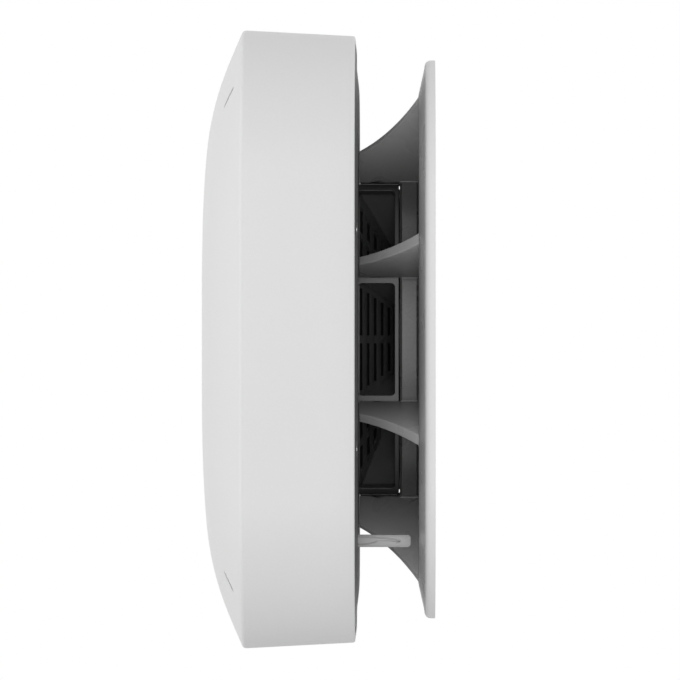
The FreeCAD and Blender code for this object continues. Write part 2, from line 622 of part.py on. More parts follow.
# A fine dark screen that lines the funnel, so that dust stays out and the slots look black.
def makeDustScreen():
    screen = Piece("dust_screen")
    back = "(vent_back + vent_wall + fit_gap)"
    for inset, cut in (("(vent_wall + fit_gap)", False), ("(vent_wall + fit_gap + screen_wall)", True)):
        wide = f"vent_radius - {inset}"
        collar_start = "vent_wide + screen_collar" if cut else "vent_wide"
        screen.octagon(collar_start, "screen_collar", wide, cut=cut)
        funnelBetween(screen, "vent_wide", wide, back, f"vent_end_radius - {inset}", cut=cut)
    screen.block("vent_wide + screen_collar", f"vent_wide + screen_collar - {back}",
                 "-(bay_half + running_gap)", "bay_half + running_gap",
                 "-(bay_face + sync_proud + running_gap)", "-(port_board_inner - running_gap)", cut=True)


def funnelBetween(piece, front, front_radius, back, back_radius, cut):
    sections = []
    for depth, radius in ((front, front_radius), (back, back_radius)):
        section = piece.sketch(depth)
        drawPolygon(section, 8, radius, HALF_OCTANT)
        sections.append(section)
    return piece.loft(sections, cut=cut)


# Rows of slots through one side of the funnel, two slots to a row with a bridge between them.
def ventRows(piece, turn, rows, half, step):
    sketch = piece.sketch("vent_radius", plane="YZ_Plane", turn=turn, about=(1, 0, 0))
    sketch.setExpression("AttachmentOffset.Base.z", cells(f"vent_radius * cos({turn})"))
    sketch.setExpression("AttachmentOffset.Base.y", cells(f"-vent_radius * sin({turn})"))
    for row in range(rows):
        back = f"-(vent_row - {row} * vent_pitch + vent_slot / 2)"
        front = f"-(vent_row - {row} * vent_pitch - vent_slot / 2)"
        reach = f"({half} - {row} * {step})"
        drawRectangle(sketch, f"upper_{row}", back, front, "vent_bridge / 2", reach)
        drawRectangle(sketch, f"lower_{row}", back, front, f"-{reach}", "-vent_bridge / 2")
    return piece.extrude(sketch, "vent_radius - vent_end_radius / 2", cut=True)


# The head's outside, or the same form made smaller all round: straight sides and a dome of contour lines.
def headForm(piece, inset, cut=False):
    def contour(half, depth):
        section = piece.sketch(depth)
        size = f"({half} - {inset})"
        corner = f"head_corner * ({half}) / head_front_half - {inset}"
        drawRectangle(section, "contour", f"-{size}", size, f"-{size}", size, corner)
        return section
    sides = [contour("head_back_half", "head_back"), contour("head_front_half", f"head_edge - {inset}")]
    piece.loft(sides, cut=cut)
    dome = [contour("head_front_half", f"head_edge - {inset}")]
    for line in range(1, 6):
        dome.append(contour(f"dome_half_{line}", f"dome_depth_{line} - {inset}"))
    piece.loft(dome, ruled=False, cut=cut)


def makeFrontShell():
    shell = Piece("front_shell")
    headForm(shell, "0")
    headForm(shell, "shell_wall", cut=True)
    post = shell.disc("flange_back", "dome_depth_1 - shell_wall + bore_gap - flange_back", "post_radius",
                      x="post_spot", turn=HALF_OCTANT)
    shell.around([post], 8)
    hole = shell.disc("flange_back + post_screw_depth", "post_screw_depth", "screw_radius + bore_gap",
                      x="post_spot", turn=HALF_OCTANT, cut=True)
    shell.around([hole], 8)
    slot = shell.block("dome_depth_5", "dome_depth_5 - pipe_root", "slot_near", "slot_far",
                       "-slot_half", "slot_half", "slot_corner", cut=True, turn=OCTANT)
    shell.around([slot], 4)
    back = value("head_back")
    outside = value("head_back_half - shell_wall / 2")
    shell.fillet("shell_fillet", lambda edge: levelAt(edge, back) and reachesOut(edge, outside))


def reachesOut(edge, half):
    box = edge.BoundBox
    return max(abs(box.XMin), abs(box.XMax), abs(box.ZMin), abs(box.ZMax)) > half


# A light pipe in each corner: a stem over its light, a foot, and a blade that fills the slot in the dome.
def makeLightPipes():
    pipes = Piece("light_pipes")
    stem_back = "(board_front + led_height + fit_gap)"
    stem = pipes.block(stem_back, f"pipe_root - {stem_back}", "pipe_near", "pipe_near + pipe_stem_length",
                       "-pipe_stem_half", "pipe_stem_half", turn=OCTANT)
    foot = pipes.block("pipe_root", "pipe_foot", "pipe_near", "slot_far - fit_gap",
                       "-pipe_stem_half", "pipe_stem_half", turn=OCTANT)
    blade = pipes.block("pipe_root", "dome_depth_2 - pipe_root", "slot_near + fit_gap", "slot_far - fit_gap",
                        "-(slot_half - fit_gap)", "slot_half - fit_gap", "slot_corner - fit_gap", turn=OCTANT)
    pipes.around([stem, foot, blade], 4)
    trimToHead(pipes, "pipe_sink")


# Keep only what lies inside the head's form made smaller by an inset.
def trimToHead(piece, inset):
    label = piece.body.Label
    form = Piece(label + "_form")
    headForm(form, inset)
    pieces.remove(form.body)
    pieces.remove(piece.body)
    piece.body.Label = label + "_blank"
    trimmed = doc.addObject("Part::MultiCommon", label + "_trimmed")
    trimmed.Label = label
    trimmed.Shapes = [piece.body, form.body]
    pieces.append(trimmed)


def makeRearCover():
    cover = Piece("rear_cover")
    half = "(head_back_half - shell_wall - cover_gap)"
    corner = "head_corner * head_back_half / head_front_half - shell_wall - cover_gap"
    cover.square("cover_back", "cover_thickness", half, corner)
    stand = cover.disc("flange_back", "board_back - flange_back", "stand_radius", x="stand_spot", turn=OCTANT)
    cover.around([stand], 4)
    cover.octagon("flange_back", "cover_thickness", "column_radius + cover_gap", cut=True)
    play = "(lever_thickness / 2 + lever_play)"
    side = "(lever_half + running_gap)"
    cover.block("flange_back", "cover_thickness", f"lever_spot - {play}", f"lever_spot + {play}",
                f"-(lever_spot + {side})", f"-(lever_spot - {side})", cut=True)
    drill(cover, "flange_back", "cover_thickness", "screw_radius + bore_gap", "post_spot", 8, HALF_OCTANT)
    drill(cover, "cover_back + cover_screw_sink", "cover_screw_sink", "screw_head + fit_gap",
          "post_spot", 8, HALF_OCTANT)
    drill(cover, "flange_back", "neck_screw_depth", "screw_radius + bore_gap", "neck_screw_spot", 8, 0)
    drill(cover, "board_back", "board_screw_depth", "screw_radius + bore_gap", "stand_spot", 4, OCTANT)
    # cheeks for the lever's pin, one on each side of the slot
    lower = "(lever_spot + lever_half + running_gap + spring_length + running_gap)"
    upper = "(lever_spot - lever_half - running_gap)"
    cheeks = ((f"-({lower} + cheek_wall)", f"-{lower}"), (f"-{upper}", f"-({upper} - cheek_wall)"))
    for low, high in cheeks:
        cover.block("flange_back", "lever_root - flange_back", "lever_spot - cheek_half",
                    "lever_spot + cheek_half", low, high)
    bore = cover.sketch(f"-({upper} - cheek_wall)", plane="XY_Plane")
    drawCircle(bore, "bore", "lever_spot", "-lever_pivot", "lever_pin_radius + bore_gap")
    cover.extrude(bore, f"{lower} + 2 * cheek_wall - {upper}", cut=True)


# ---- the ports, on the column's lower side ----

# A rectangle on a level plane, from a height downwards: across in X, and in depth.
def levelBlock(piece, top, length, left, right, back, front, corner=None, cut=False):
    sketch = piece.sketch(top if cut else f"{top} - ({length})", plane="XY_Plane")
    drawRectangle(sketch, "level", left, right, f"-({front})", f"-({back})", corner)
    return piece.extrude(sketch, length, cut)


def levelDisc(piece, top, length, x, depth, radius, cut=False):
    sketch = piece.sketch(top if cut else f"{top} - ({length})", plane="XY_Plane")
    drawCircle(sketch, "level", x, f"-({depth})", radius)
    return piece.extrude(sketch, length, cut)


def makePortBay():
    bay = Piece("port_bay")
    bay.block("jack_back", "jack_height", "-bay_half", "bay_half", "-bay_face", "-bay_inner")
    bay.block("jack_front", "jack_height", "-(bay_half - bay_wall)", "bay_half - bay_wall",
              "-(bay_face - bay_wall)", "-bay_inner", cut=True)
    # the network jack fills its opening; the power jack and the keys have round holes
    bay.block("jack_front", "jack_height", "-(bay_half - bay_wall)", "jack_width - jack_left + fit_gap",
              "-bay_face", "-(bay_face - bay_wall)", cut=True)
    wall_inside = "-(bay_face - bay_wall)"
    levelDisc(bay, wall_inside, "bay_wall", "power_x", "power_depth", "power_bore + fit_gap", cut=True)
    levelDisc(bay, wall_inside, "bay_wall", "key_x", "sync_depth", "sync_radius + fit_gap", cut=True)
    levelDisc(bay, wall_inside, "bay_wall", "key_x", "reset_depth", "reset_radius + fit_gap", cut=True)


def makeNetworkJack():
    jack = Piece("lan_jack")
    jack.block("jack_back", "jack_height", "-jack_left", "jack_width - jack_left",
               "-bay_face", "-(bay_face - jack_length)")
    mouth_back = "(jack_back + jack_mouth_lift)"
    mouth_front = f"({mouth_back} + jack_mouth_height)"
    inner = "-(bay_face - jack_mouth_length)"
    levelBlock(jack, inner, "jack_mouth_length", "jack_x - jack_mouth_width / 2",
               "jack_x + jack_mouth_width / 2", mouth_back, mouth_front, cut=True)
    levelBlock(jack, inner, "jack_mouth_length", "jack_x - latch_width / 2", "jack_x + latch_width / 2",
               f"{mouth_back} - latch_height", mouth_front, cut=True)
    contacts = Piece("lan_contacts")
    sketch = contacts.sketch("-(bay_face - contact_sink)", plane="XY_Plane")
    for number in range(8):
        middle = f"jack_x + ({number - 3.5}) * contact_pitch"
        drawRectangle(sketch, f"contact_{number}", f"{middle} - contact_width / 2",
                      f"{middle} + contact_width / 2", f"-{mouth_front}",
                      f"-({mouth_front} - contact_height)")
    contacts.extrude(sketch, "jack_mouth_length - contact_sink")


def makePowerJack():
    outer = "-collar_outer"
    jack = Piece("dc_jack")
    jack.block("jack_front - power_height", "power_height", "-power_left", "power_width - power_left",
               outer, f"{outer} + power_length")
    levelDisc(jack, f"{outer} + power_bore_length", "power_bore_length", "power_x", "power_depth",
              "power_bore", cut=True)
    pin = Piece("dc_pin")
    levelDisc(pin, f"{outer} + power_bore_length", "power_bore_length - 2 * running_gap",
              "power_x", "power_depth", "power_pin")


def makePortBoard():
    board = Piece("port_board")
    board.block("jack_front", "board_thickness", "-port_board_half", "port_board_half",
                "-(bay_face - bay_wall)", "-port_board_inner")
    header = Piece("board_header")
    header.block("port_board_front", "board_back - port_board_front", "-header_half", "header_half",
                 "-(header_near + header_width)", "-header_near")
    keys = Piece("key_board")
    keys.block("jack_back + fit_gap", "jack_height - fit_gap", "key_x - key_board_half",
               "key_x + key_board_half", "-switch_inner", "-(switch_inner - key_board_thickness)")


# A button, and the switch behind it with its plunger.
def makeKey(label, depth, radius, face):
    button = Piece(label + "_button")
    levelDisc(button, "-collar_inner", f"{face} - collar_inner", "key_x", depth, radius)
    levelDisc(button, "-collar_inner", "key_collar_length", "key_x", depth, f"{radius} + key_collar")
    plunger = Piece(label + "_plunger")
    levelDisc(plunger, "-(collar_inner - plunger_length)", "plunger_length", "key_x", depth, "plunger_radius")
    switch = Piece(label + "_switch")
    levelBlock(switch, "-switch_inner", "switch_length", "key_x - switch_half", "key_x + switch_half",
               f"{depth} - switch_half", f"{depth} + switch_half")
    well = "(plunger_grip + key_travel + fit_gap)"
    levelDisc(switch, f"-(switch_outer - {well})", well, "key_x", depth, "plunger_radius + bore_gap", cut=True)


# ---- boards, antennas, heat sink and lights, inside the head ----

def makeMainBoard():
    board = Piece("main_board")
    board.square("board_back", "board_thickness", "board_half", "board_corner")
    drill(board, "board_front", "board_thickness", "screw_radius + bore_gap", "stand_spot", 4, OCTANT)
    drill(board, "board_front", "board_thickness", "screw_radius + bore_gap", "sink_screw_spot", 4, OCTANT)
    for label, x, z in (("radio_can_left", -1, 0), ("radio_can_right", 1, 0), ("memory_can", 0, 1)):
        can = Piece(label)
        can.block("board_back - can_height", "can_height", f"{x} * can_spot - can_half",
                  f"{x} * can_spot + can_half", f"{z} * can_spot - can_half",
                  f"{z} * can_spot + can_half", "can_corner")
    chip = Piece("processor")
    chip.block("board_front", "chip_thickness", "-chip_half", "chip_half", "-chip_half", "chip_half")
    pad = Piece("thermal_pad")
    pad.block("chip_front", "thermal_pad_thickness", "-chip_half", "chip_half", "-chip_half", "chip_half")
    lights = Piece("corner_leds")
    light = lights.block("board_front", "led_height", "led_spot - led_half", "led_spot + led_half",
                         "-led_half", "led_half", turn=OCTANT)
    lights.around([light], 4)


def makeHeatSink():
    sink = Piece("heat_sink")
    sink.block("sink_back", "sink_base", "-sink_half", "sink_half", "-sink_half", "sink_half")
    boss = sink.disc("board_front", "sink_back - board_front", "sink_boss", x="sink_screw_spot", turn=OCTANT)
    sink.around([boss], 4)
    fins = sink.sketch("sink_back + sink_base")
    count = int(value("(2 * sink_half - fin_thickness) / fin_pitch")) + 1
    for number in range(count):
        left = f"({number} - {(count - 1) / 2}) * fin_pitch - fin_thickness / 2"
        drawRectangle(fins, f"fin_{number}", left, f"{left} + fin_thickness", "-sink_half", "sink_half")
    sink.extrude(fins, "fin_height")
    drill(sink, "board_front + sink_screw_depth", "sink_screw_depth", "screw_radius + bore_gap",
          "sink_screw_spot", 4, OCTANT)


def makeAntennas():
    carrier = Piece("antenna_carrier")
    carrier.square("board_front", "carrier_height", "carrier_half", "carrier_corner")
    carrier.square("board_front + carrier_height", "carrier_height", "carrier_half - carrier_wall",
                   "carrier_corner - carrier_wall", cut=True)
    for number in range(8):
        antenna = Piece(f"antenna_{number + 1}")
        side = 1 if number % 2 else -1
        middle = f"{side} * antenna_spot"
        outer = "carrier_half + antenna_thickness"
        antenna.block("board_front", "antenna_height", "carrier_half", outer,
                      f"{middle} - antenna_half", f"{middle} + antenna_half")
        antenna.block("board_front + antenna_height", "antenna_height - antenna_foot", "carrier_half", outer,
                      f"{middle} - antenna_notch / 2", f"{middle} + antenna_notch / 2", cut=True)
        turn = FreeCAD.Rotation(FreeCAD.Vector(0, 1, 0), 2 * OCTANT * (number // 2))
        antenna.body.Placement = FreeCAD.Placement(FreeCAD.Vector(), turn)


# ---- the release lever, and its pin and spring ----

def makeLever():
    lever = Piece("release_lever")
    lever.block("lever_tip", "lever_root - lever_tip", "lever_spot - lever_thickness / 2",
                "lever_spot + lever_thickness / 2", "-(lever_spot + lever_half)",
                "-(lever_spot - lever_half)")
    bore = lever.sketch("-(lever_spot - lever_half)", plane="XY_Plane")
    drawCircle(bore, "bore", "lever_spot", "-lever_pivot", "lever_pin_radius + bore_gap")
    lever.extrude(bore, "2 * lever_half", cut=True)
    tip = value("lever_tip")
    lever.fillet("lever_round", lambda edge: levelAt(edge, tip) and edge.BoundBox.ZLength < 0.01)
    bottom = "(lever_spot + lever_half + running_gap + spring_length + running_gap + cheek_wall)"
    top = "(lever_spot - lever_half - running_gap - cheek_wall)"
    pin = Piece("lever_pin")
    levelDisc(pin, f"-{top}", f"{bottom} - {top}", "lever_spot", "lever_pivot", "lever_pin_radius")
    spring = Piece("lever_spring")
    spring_top = "-(lever_spot + lever_half + running_gap)"
    levelDisc(spring, spring_top, "spring_length", "lever_spot", "lever_pivot",
              "lever_pin_radius + 2 * bore_gap + spring_wall")
    levelDisc(spring, spring_top, "spring_length", "lever_spot", "lever_pivot",
              "lever_pin_radius + 2 * bore_gap", cut=True)


makeBasePlate()
makeArmSpider()
makeScrews("spider_screws", "arm_screw_spot", 8, HALF_OCTANT, "arm_screw_sink",
           "skirt_front - arm_screw_sink + arm_screw_reach - fit_gap", faces_wall=True)
makeLockRing()
makeScrews("lock_ring_screws", "lock_screw_spot", 4, OCTANT, "skirt_front + lock_flange_thickness",
           "lock_flange_thickness + lock_screw_depth - fit_gap")
makeNeckFrame()
makeVentDome()
makeDustScreen()
makeScrews("neck_screws", "neck_screw_spot", 8, 0, "vent_front",
           "vent_front - flange_back + neck_screw_depth - fit_gap")
makeFrontShell()
makeLightPipes()
makeRearCover()
makeScrews("rear_cover_screws", "post_spot", 8, HALF_OCTANT, "cover_back + cover_screw_sink",
           "cover_thickness - cover_screw_sink + post_screw_depth - fit_gap", faces_wall=True)
makePortBay()
makeNetworkJack()
makePowerJack()
makePortBoard()
makeKey("sync", "sync_depth", "sync_radius", "(bay_face + sync_proud)")
makeKey("reset", "reset_depth", "reset_radius", "(bay_face - reset_sink)")
makeMainBoard()
makeScrews("board_screws", "stand_spot", 4, OCTANT, "board_front",
           "board_thickness + board_screw_depth - fit_gap")
makeHeatSink()
makeScrews("heat_sink_screws", "sink_screw_spot", 4, OCTANT, "board_back",
           "board_thickness + sink_screw_depth - fit_gap", faces_wall=True)
makeAntennas()
makeLever()

doc.recompute()
faults = [item.Name for item in doc.Objects if "Invalid" in item.State or "Error" in item.State]
for piece in pieces:
    if piece.Shape.isNull() or not piece.Shape.isValid() or not piece.Shape.Solids:
        faults.append(piece.Label)
if faults:
    raise RuntimeError("these didn't build: " + ", ".join(faults))

os.makedirs("parts", exist_ok=True)
for piece in pieces:
    piece.Shape.exportStep(f"parts/{piece.Label}.step")
print(len(pieces), "pieces")
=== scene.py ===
import bmesh
import bpy
import json
import math
from mathutils import Matrix, Vector


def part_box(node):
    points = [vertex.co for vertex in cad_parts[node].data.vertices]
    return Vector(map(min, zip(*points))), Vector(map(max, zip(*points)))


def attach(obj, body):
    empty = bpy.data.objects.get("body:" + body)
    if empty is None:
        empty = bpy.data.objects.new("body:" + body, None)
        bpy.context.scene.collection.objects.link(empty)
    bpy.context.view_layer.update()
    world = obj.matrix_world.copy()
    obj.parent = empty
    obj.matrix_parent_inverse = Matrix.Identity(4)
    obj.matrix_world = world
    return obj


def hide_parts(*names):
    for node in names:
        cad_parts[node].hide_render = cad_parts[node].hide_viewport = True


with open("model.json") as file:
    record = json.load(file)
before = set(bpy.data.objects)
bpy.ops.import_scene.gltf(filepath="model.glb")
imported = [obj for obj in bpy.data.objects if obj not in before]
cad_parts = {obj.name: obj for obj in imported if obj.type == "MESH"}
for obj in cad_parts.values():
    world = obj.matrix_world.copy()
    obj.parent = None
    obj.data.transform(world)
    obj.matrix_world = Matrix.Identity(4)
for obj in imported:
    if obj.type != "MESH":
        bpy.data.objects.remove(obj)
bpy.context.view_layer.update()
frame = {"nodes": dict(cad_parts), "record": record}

# A square mesh wifi node on a wall plate: white domed head, dark slotted column, eight flared arms.
# Metres, as in the frame: the wall is at y = 0, the head's dome faces -y, and the ports face down.

quarter = math.pi / 2
octant = math.pi / 4
print("frame loaded:", len(frame["nodes"]), "nodes")


# ---- shader nodes ----

# One output socket, so that shader maths can be written as an expression.
class Wire:
    def __init__(self, finish, socket):
        self.finish = finish
        self.socket = socket

    def maths(self, operation, first, second):
        return self.finish.node("Math", {"operation": operation}, {0: first, 1: second})

    def __add__(self, other):
        return self.maths("ADD", self, other)

    def __radd__(self, other):
        return self.maths("ADD", other, self)

    def __sub__(self, other):
        return self.maths("SUBTRACT", self, other)

    def __rsub__(self, other):
        return self.maths("SUBTRACT", other, self)

    def __mul__(self, other):
        return self.maths("MULTIPLY", self, other)

    def __rmul__(self, other):
        return self.maths("MULTIPLY", other, self)


# A material, or the world, with an empty node tree.
class Finish:
    def __init__(self, owner):
        owner.use_nodes = True
        self.owner = owner
        self.tree = owner.node_tree
        self.tree.nodes.clear()

    # Any node: its type, its settings, and the values or wires of its sockets.
    def node(self, kind, settings={}, sockets={}, output=0):
        made = self.tree.nodes.new("ShaderNode" + kind)
        for setting, number in settings.items():
            if setting == "stops":
                for place, (position, shade) in enumerate(number):
                    stops = made.color_ramp.elements
                    stop = stops[place] if place < 2 else stops.new(position)
                    stop.position = position
                    stop.color = (shade, shade, shade, 1)
            else:
                setattr(made, setting, number)
        for socket, given in sockets.items():
            if isinstance(given, Wire):
                self.tree.links.new(given.socket, made.inputs[socket])
            else:
                made.inputs[socket].default_value = given
        return Wire(self, made.outputs[output]) if made.outputs else made

    def objectPlace(self):
        return self.node("TexCoord", output="Object")

    def noise(self, scale, detail=2.0, place=None):
        sockets = {"Vector": place or self.objectPlace(), "Scale": scale, "Detail": detail}
        return self.node("TexNoise", {}, sockets, "Fac")

    def blend(self, factor, first, second):
        sockets = {0: factor, 6: (*first, 1) if isinstance(first, tuple) else first,
                   7: (*second, 1) if isinstance(second, tuple) else second}
        return self.node("Mix", {"data_type": "RGBA"}, sockets, 2)

    def ramp(self, factor, *stops):
        return self.node("ValToRGB", {"stops": stops}, {"Fac": factor})

    def bump(self, height, strength, distance):
        return self.node("Bump", {}, {"Strength": strength, "Distance": distance, "Height": height})

    def vectorMaths(self, operation, output, *vectors):
        return self.node("VectorMath", {"operation": operation}, dict(enumerate(vectors)), output)

    # From 0 to 1 between two lengths in metres.
    def overLength(self, length, zone):
        scale = zone["scale"]
        return self.ramp(length * scale, (zone["from"] * scale, 0.0), (zone["to"] * scale, 1.0))

    def surface(self, shader):
        self.node("OutputMaterial", {}, {"Surface": shader})
        return self.owner


def shade(colour, factor):
    return tuple(min(1.0, part * factor) for part in colour)


# Moulded plastic: a fine sparked texture, faint clouding of the colour, and handling gloss in patches.
# Painted shade can darken the colour near the object's middle axis, and beyond a depth from the wall.
def mouldedPlastic(name, look):
    finish = Finish(bpy.data.materials.new(name))
    colour = look["colour"]
    cloud = finish.ramp(finish.noise(look["cloudScale"], 4.0), (0.3, 0.0), (0.7, 1.0))
    fleck = finish.ramp(finish.noise(look["grainScale"] * 0.45, 1.0), (0.35, 0.0), (0.65, 1.0))
    base = finish.blend(cloud, shade(colour, 1 - look["cloudDepth"]), shade(colour, 1 + look["cloudDepth"]))
    # painted shade: the colour turns to a darker one near the middle axis, standing in for shade there
    if "middle" in look:
        across = finish.vectorMaths("MULTIPLY", "Vector", finish.objectPlace(), (1, 0, 1))
        reach = finish.vectorMaths("LENGTH", "Value", across)
        base = finish.blend(finish.overLength(reach, look["middle"]), look["middle"]["colour"], base)
    # painted shade: the colour turns to a darker one beyond a depth from the wall, standing in for shade there
    if "front" in look:
        depth = finish.vectorMaths("DOT_PRODUCT", "Value", finish.objectPlace(), (0, -1, 0))
        base = finish.blend(finish.overLength(depth, look["front"]), base, look["front"]["colour"])
    base = finish.blend(fleck * look["fleck"], base, shade(colour, 0.7))
    grain = finish.noise(look["grainScale"], 2.0)
    wave = finish.noise(look["cloudScale"] * 3, 2.0)
    roughness = look["roughness"] + (wave - 0.5) * look["patches"]
    normal = finish.bump(grain, look["grainDepth"], 0.00006)
    shader = finish.node("BsdfPrincipled", {}, {
        "Base Color": base, "Roughness": roughness, "Normal": normal, "IOR": 1.46})
    return finish.surface(shader)


# Metal sheet, wire or extrusion: fine lines along one direction, with a dull film here and there.
def workedMetal(name, look):
    finish = Finish(bpy.data.materials.new(name))
    stretch = finish.node("Mapping", {}, {"Vector": finish.objectPlace(), "Scale": look["stretch"]}, "Vector")
    lines = finish.noise(look["lineScale"], 3.0, stretch)
    film = finish.ramp(finish.noise(look["filmScale"], 3.0), (0.35, 0.0), (0.7, 1.0))
    base = finish.blend(film, look["colour"], shade(look["colour"], 0.82))
    roughness = look["roughness"] + lines * look["lineRoughness"] + film * 0.08
    normal = finish.bump(lines, look["lineDepth"], 0.00003)
    shader = finish.node("BsdfPrincipled", {}, {
        "Base Color": base, "Metallic": 1.0, "Roughness": roughness, "Normal": normal})
    return finish.surface(shader)


# Green solder mask over copper: wide tracks and pads show through as slightly raised, paler areas.
def circuitBoard(name, look):
    finish = Finish(bpy.data.materials.new(name))
    place = finish.objectPlace()
    cell = finish.node("TexVoronoi", {"distance": "CHEBYCHEV", "feature": "F1"},
                       {"Vector": place, "Scale": look["trackScale"]}, "Distance")
    track = finish.ramp(cell, (0.28, 1.0), (0.34, 0.0))
    fine = finish.node("TexVoronoi", {"distance": "MANHATTAN", "feature": "F1"},
                       {"Vector": place, "Scale": look["padScale"]}, "Distance")
    pad = finish.ramp(fine, (0.13, 1.0), (0.17, 0.0))
    base = finish.blend(track, look["colour"], look["trackColour"])
    base = finish.blend(pad, base, look["padColour"])
    normal = finish.bump(track + pad, 0.4, 0.00004)
    shader = finish.node("BsdfPrincipled", {}, {
        "Base Color": base, "Roughness": 0.35 + 0.2 * (1 - pad), "Metallic": pad * 0.8, "Normal": normal})
    return finish.surface(shader)


# Smoky clear plastic that carries the status light to the dome.
def lightPipe(name):
    finish = Finish(bpy.data.materials.new(name))
    haze = finish.noise(900.0, 2.0)
    base = finish.blend(haze, (0.30, 0.31, 0.32), (0.44, 0.45, 0.46))
    shader = finish.node("BsdfPrincipled", {}, {
        "Base Color": base, "Roughness": 0.18 + haze * 0.12, "Normal": finish.bump(haze, 0.1, 0.00003),
        "Transmission Weight": 0.55, "IOR": 1.49})
    return finish.surface(shader)


# A small light: a clear lens with its phosphor behind it, unlit.
def lightPackage(name):
    finish = Finish(bpy.data.materials.new(name))
    phosphor = finish.noise(1500.0, 3.0)
    base = finish.blend(phosphor, (0.86, 0.78, 0.42), (0.94, 0.90, 0.66))
    shader = finish.node("BsdfPrincipled", {}, {
        "Base Color": base, "Roughness": 0.22 + phosphor * 0.1, "Coat Weight": 0.6,
        "Normal": finish.bump(phosphor, 0.15, 0.00003)})
    return finish.surface(shader)


plasticLooks = {
    "white_shell": {"colour": (0.70, 0.70, 0.70), "roughness": 0.50, "patches": 0.06, "fleck": 0.03,
                    "cloudScale": 14.0, "cloudDepth": 0.008, "grainScale": 2600.0, "grainDepth": 0.10},
    # painted shade: the plate darkens between 3.3 and 3.7 mm from the wall, where the head shades its face
    "plate_plastic": {"colour": (0.70, 0.70, 0.70), "roughness": 0.46, "patches": 0.06, "fleck": 0.03,
                      "cloudScale": 16.0, "cloudDepth": 0.008, "grainScale": 2600.0, "grainDepth": 0.10,
                      "front": {"colour": (0.16, 0.16, 0.16), "from": 0.0033, "to": 0.0037, "scale": 100}},
    # painted shade: the arms darken towards the middle axis, where the head and column shade them
    "arm_plastic": {"colour": (0.60, 0.60, 0.60), "roughness": 0.28, "patches": 0.08, "fleck": 0.03,
                    "cloudScale": 26.0, "cloudDepth": 0.02, "grainScale": 2200.0, "grainDepth": 0.08,
                    "middle": {"colour": (0.10, 0.10, 0.10), "from": 0.055, "to": 0.089, "scale": 10}},
    # painted shade: the cover's plastic is made dark grey to stand in for the shade it gets between head and
    # plate
    "rear_cover": {"colour": (0.13, 0.13, 0.13), "roughness": 0.50, "patches": 0.08, "fleck": 0.06,
                   "cloudScale": 20.0, "cloudDepth": 0.02, "grainScale": 1800.0, "grainDepth": 0.16},
    "lock_plastic": {"colour": (0.12, 0.12, 0.125), "roughness": 0.48, "patches": 0.10, "fleck": 0.08,
                     "cloudScale": 30.0, "cloudDepth": 0.03, "grainScale": 1700.0, "grainDepth": 0.18},
    "black_plastic": {"colour": (0.045, 0.045, 0.047), "roughness": 0.34, "patches": 0.10, "fleck": 0.10,
                      "cloudScale": 30.0, "cloudDepth": 0.06, "grainScale": 1500.0, "grainDepth": 0.22},
    "vent_plastic": {"colour": (0.075, 0.075, 0.077), "roughness": 0.38, "patches": 0.10, "fleck": 0.10,
                     "cloudScale": 30.0, "cloudDepth": 0.06, "grainScale": 1500.0, "grainDepth": 0.20},
    "lever_plastic": {"colour": (0.42, 0.42, 0.42), "roughness": 0.36, "patches": 0.08, "fleck": 0.04,
                      "cloudScale": 60.0, "cloudDepth": 0.02, "grainScale": 2400.0, "grainDepth": 0.08},
    "key_plastic": {"colour": (0.40, 0.40, 0.41), "roughness": 0.38, "patches": 0.08, "fleck": 0.04,
                    "cloudScale": 90.0, "cloudDepth": 0.02, "grainScale": 2400.0, "grainDepth": 0.08},
    "chip": {"colour": (0.022, 0.022, 0.024), "roughness": 0.60, "patches": 0.12, "fleck": 0.20,
             "cloudScale": 80.0, "cloudDepth": 0.05, "grainScale": 3000.0, "grainDepth": 0.30},
    "screen_mesh": {"colour": (0.006, 0.006, 0.006), "roughness": 0.85, "patches": 0.05, "fleck": 0.30,
                    "cloudScale": 40.0, "cloudDepth": 0.10, "grainScale": 5200.0, "grainDepth": 0.50},
    "thermal_pad": {"colour": (0.30, 0.40, 0.58), "roughness": 0.78, "patches": 0.12, "fleck": 0.25,
                    "cloudScale": 60.0, "cloudDepth": 0.04, "grainScale": 1600.0, "grainDepth": 0.40},
}

metalLooks = {
    "screw_steel": {"colour": (0.56, 0.56, 0.54), "roughness": 0.30, "lineRoughness": 0.14, "lineDepth": 0.25,
                    "lineScale": 900.0, "filmScale": 260.0, "stretch": (1.0, 0.12, 1.0)},
    "gold_contact": {"colour": (0.86, 0.62, 0.28), "roughness": 0.20, "lineRoughness": 0.10, "lineDepth": 0.15,
                     "lineScale": 1400.0, "filmScale": 400.0, "stretch": (1.0, 1.0, 0.1)},
    "nickel": {"colour": (0.62, 0.61, 0.58), "roughness": 0.26, "lineRoughness": 0.12, "lineDepth": 0.20,
               "lineScale": 700.0, "filmScale": 90.0, "stretch": (1.0, 1.0, 0.06)},
    "antenna_metal": {"colour": (0.70, 0.58, 0.36), "roughness": 0.28, "lineRoughness": 0.12, "lineDepth": 0.20,
                      "lineScale": 800.0, "filmScale": 120.0, "stretch": (0.08, 0.08, 1.0)},
    "heat_sink": {"colour": (0.64, 0.65, 0.67), "roughness": 0.34, "lineRoughness": 0.18, "lineDepth": 0.35,
                  "lineScale": 900.0, "filmScale": 40.0, "stretch": (0.05, 1.0, 1.0)},
}

finishes = {name: mouldedPlastic(name + "_finish", look) for name, look in plasticLooks.items()}
finishes.update({name: workedMetal(name + "_finish", look) for name, look in metalLooks.items()})
finishes["circuit_board"] = circuitBoard("circuit_board_finish", {
    "colour": (0.018, 0.105, 0.050), "trackColour": (0.030, 0.150, 0.070), "padColour": (0.62, 0.60, 0.50),
    "trackScale": 95.0, "padScale": 260.0})
finishes["light_pipe"] = lightPipe("light_pipe_finish")
finishes["led"] = lightPackage("led_finish")
print("finishes made:", len(finishes))


# ---- mesh helpers ----

